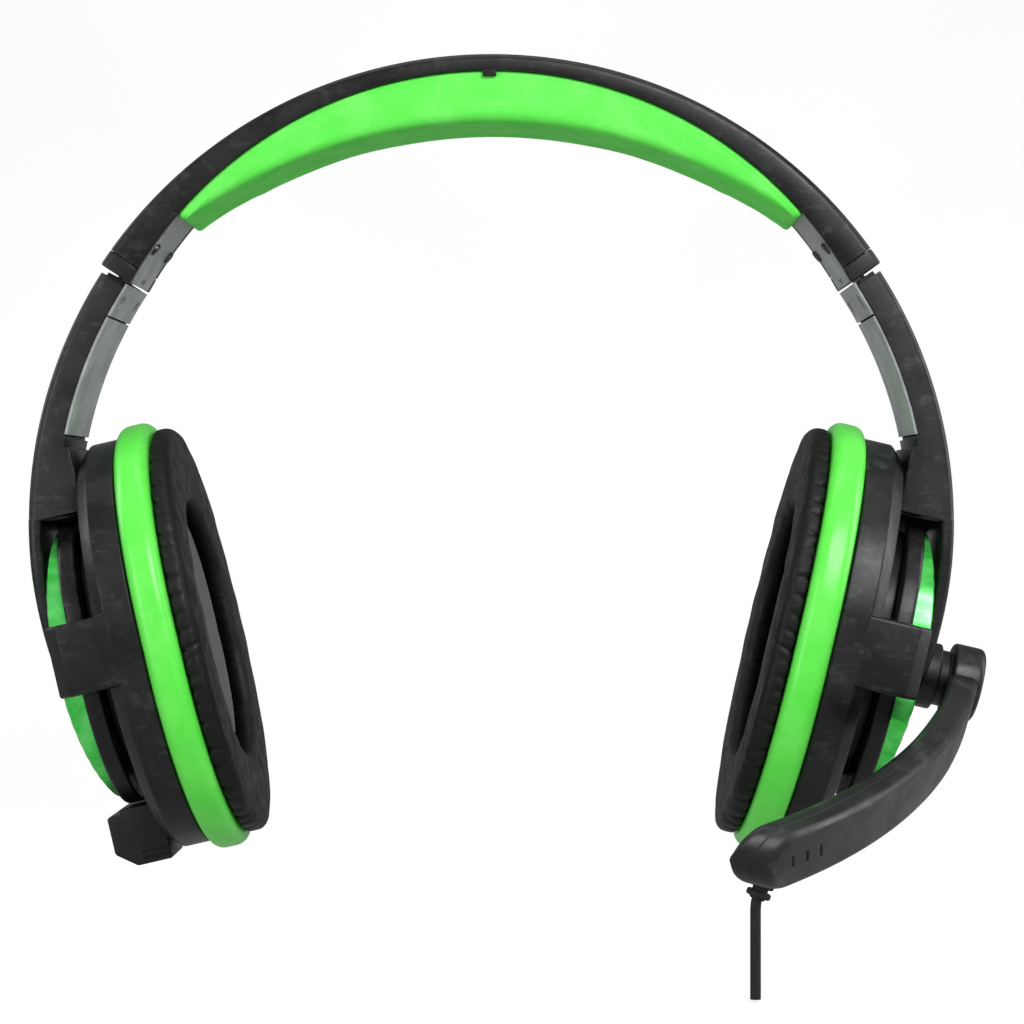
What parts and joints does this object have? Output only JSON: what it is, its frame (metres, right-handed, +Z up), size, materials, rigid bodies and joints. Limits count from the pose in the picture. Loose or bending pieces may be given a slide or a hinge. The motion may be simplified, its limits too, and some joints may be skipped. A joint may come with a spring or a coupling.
{
  "type": "gaming headset",
  "caption": "Over-ear gaming headset: padded arched headband on sliding arms, tilting ear cups with pleated cushions, and a swinging microphone boom.",
  "frame": {"origin": "centre of the headband's outer arc, on the middle plane between the ears", "axes": "+X towards the wearer's left ear, which is the microphone's side; -Y forwards, the way the wearer faces; +Z up"},
  "size_m": [0.2149, 0.1624, 0.2124],
  "materials": {
    "black_plastic": "satin, lightly grained",
    "dark_plastic": "matte",
    "grey_trim": "satin grey",
    "green_pad": "smooth moulded skin",
    "green_plastic": "gloss",
    "green_chrome": "tinted mirror plating",
    "spring_steel": "bright rolled",
    "steel": "turned",
    "cushion_leatherette": "soft, pleated at the edge",
    "speaker_cloth": "fine knit",
    "driver_film": "thin film",
    "cable_rubber": "smooth",
    "copper": "bare",
    "gloss_black": "gloss"
  },
  "bodies": {
    "headband": {"headband_shell": "black_plastic", "headband_inner_cover": "grey_trim", "headband_pad": "green_pad", "spring_band": "spring_steel", "end_cap_left": "dark_plastic", "end_cap_right": "dark_plastic", "headband_screws": "steel", "detent_spring_left": "spring_steel", "detent_spring_right": "spring_steel", "link_wire": "cable_rubber"},
    "arm_left": {"arm_left": "black_plastic", "arm_liner_left": "grey_trim", "slider_clamp_left": "grey_trim", "slider_strip_left": "spring_steel", "clamp_screws_left": "steel", "mic_hub": "black_plastic", "mic_pin": "steel", "mic_washer": "cable_rubber"},
    "arm_right": {"arm_right": "black_plastic", "arm_liner_right": "grey_trim", "slider_clamp_right": "grey_trim", "slider_strip_right": "spring_steel", "clamp_screws_right": "steel"},
    "mic": {"mic_base": "black_plastic", "mic_cap": "gloss_black", "mic_boom": "dark_plastic", "mic_boom_cover": "dark_plastic", "mic_capsule": "steel"},
    "cup_left": {"housing_left": "black_plastic", "trim_ring_left": "green_plastic", "baffle_left": "dark_plastic", "baffle_screws_left": "steel", "driver_frame_left": "dark_plastic", "driver_cone_left": "driver_film", "driver_magnet_left": "steel", "ear_cushion_left": "cushion_leatherette", "speaker_cloth_left": "speaker_cloth", "back_cover_left": "black_plastic", "decor_plate_left": "green_chrome", "cover_screws_left": "steel", "tilt_pin_left": "steel", "outlet_block_left": "dark_plastic", "cable_boot": "cable_rubber", "cable": "cable_rubber", "cable_cores": "copper"},
    "cup_right": {"housing_right": "black_plastic", "trim_ring_right": "green_plastic", "baffle_right": "dark_plastic", "baffle_screws_right": "steel", "driver_frame_right": "dark_plastic", "driver_cone_right": "driver_film", "driver_magnet_right": "steel", "ear_cushion_right": "cushion_leatherette", "speaker_cloth_right": "speaker_cloth", "back_cover_right": "black_plastic", "decor_plate_right": "green_chrome", "cover_screws_right": "steel", "tilt_pin_right": "steel", "outlet_block_right": "dark_plastic"}
  },
  "joints": [
    {"name": "slider_left", "type": "hinge", "parent": "headband", "child": "arm_left", "pos_m": [0, 0, 0], "axis": [0, 1, 0], "range_deg": [0, 14]},
    {"name": "slider_right", "type": "hinge", "parent": "headband", "child": "arm_right", "pos_m": [0, 0, 0], "axis": [0, -1, 0], "range_deg": [0, 14]},
    {"name": "tilt_left", "type": "hinge", "parent": "arm_left", "child": "cup_left", "pos_m": [0.08832, 0, -0.03028], "axis": [0, -1, 0], "range_deg": [0, 12]},
    {"name": "tilt_right", "type": "hinge", "parent": "arm_right", "child": "cup_right", "pos_m": [-0.08832, 0, -0.03028], "axis": [0, 1, 0], "range_deg": [0, 12]},
    {"name": "mic_swing", "type": "hinge", "parent": "arm_left", "child": "mic", "pos_m": [0.10607, 0, -0.0365], "axis": [-0.9736, 0, 0.2284], "range_deg": [-30, 110]}
  ]
}
